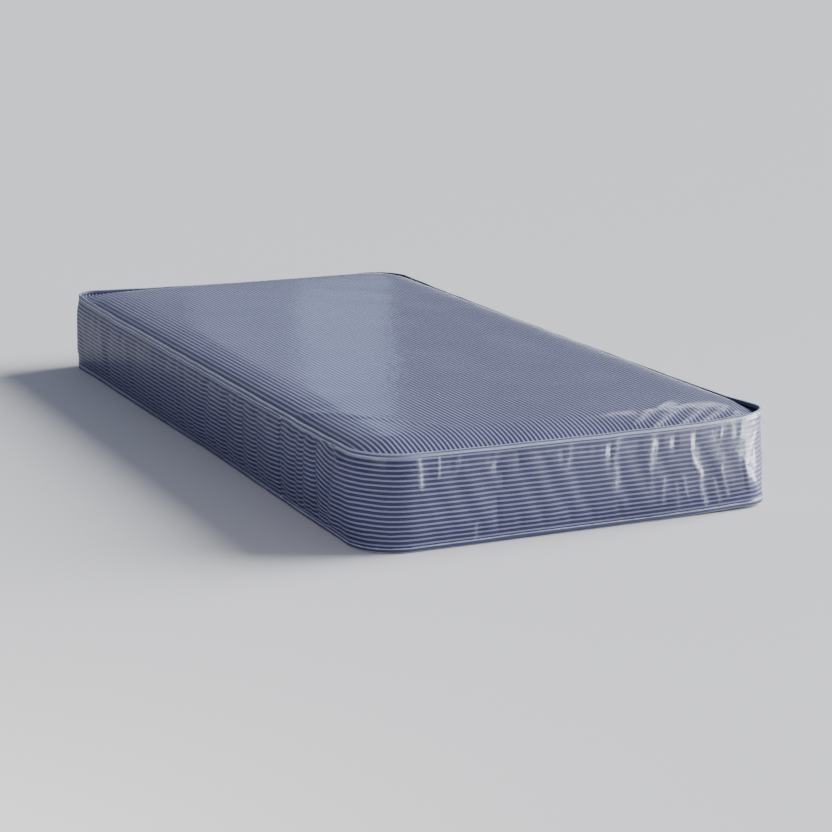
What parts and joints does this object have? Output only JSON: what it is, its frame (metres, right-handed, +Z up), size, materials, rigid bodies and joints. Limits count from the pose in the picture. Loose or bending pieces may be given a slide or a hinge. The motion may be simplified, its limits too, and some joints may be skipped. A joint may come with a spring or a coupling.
{
  "type": "pressure relief mattress",
  "caption": "Single pressure relief mattress: striped wipe-clean ticking, tape-edged and sewn closed, over a zoned foam core.",
  "frame": {"origin": "on the floor under the middle of the mattress", "axes": "X across the width, +Y along the length towards the head end, +Z up"},
  "size_m": [0.9, 1.9, 0.206],
  "materials": {
    "ticking": "coated wipe-clean ticking, navy and pale blue stripes, semi-gloss",
    "edge_tape": "striped binding tape, semi-matt",
    "thread": "navy sewing thread",
    "wadding": "white polyester fibre wadding",
    "fire_barrier": "undyed woven fire barrier cloth",
    "felt": "grey needled felt",
    "visco_foam": "cream visco-elastic open-cell foam",
    "head_foam": "pale blue open-cell foam",
    "torso_foam": "pale green open-cell foam",
    "heel_foam": "pale salmon open-cell foam",
    "firm_foam": "blue-grey firm open-cell foam",
    "base_foam": "grey open-cell foam"
  },
  "bodies": {
    "root": {"top_panel": "ticking", "base_panel": "ticking", "side_border": "ticking", "border_join_seam": "ticking", "top_edge_tape": "edge_tape", "base_edge_tape": "edge_tape", "top_tape_thread": "thread", "base_tape_thread": "thread", "border_wadding": "wadding", "top_fibre_pad": "wadding", "fire_barrier_side": "fire_barrier", "fire_barrier_top": "fire_barrier", "fire_barrier_base": "fire_barrier", "base_felt_pad": "felt", "visco_topper": "visco_foam", "head_zone_foam": "head_foam", "torso_zone_foam": "torso_foam", "heel_zone_foam": "heel_foam", "side_bolster_left": "firm_foam", "side_bolster_right": "firm_foam", "end_bolster_head": "firm_foam", "end_bolster_foot": "firm_foam", "core_base_slab": "base_foam"}
  },
  "joints": []
}
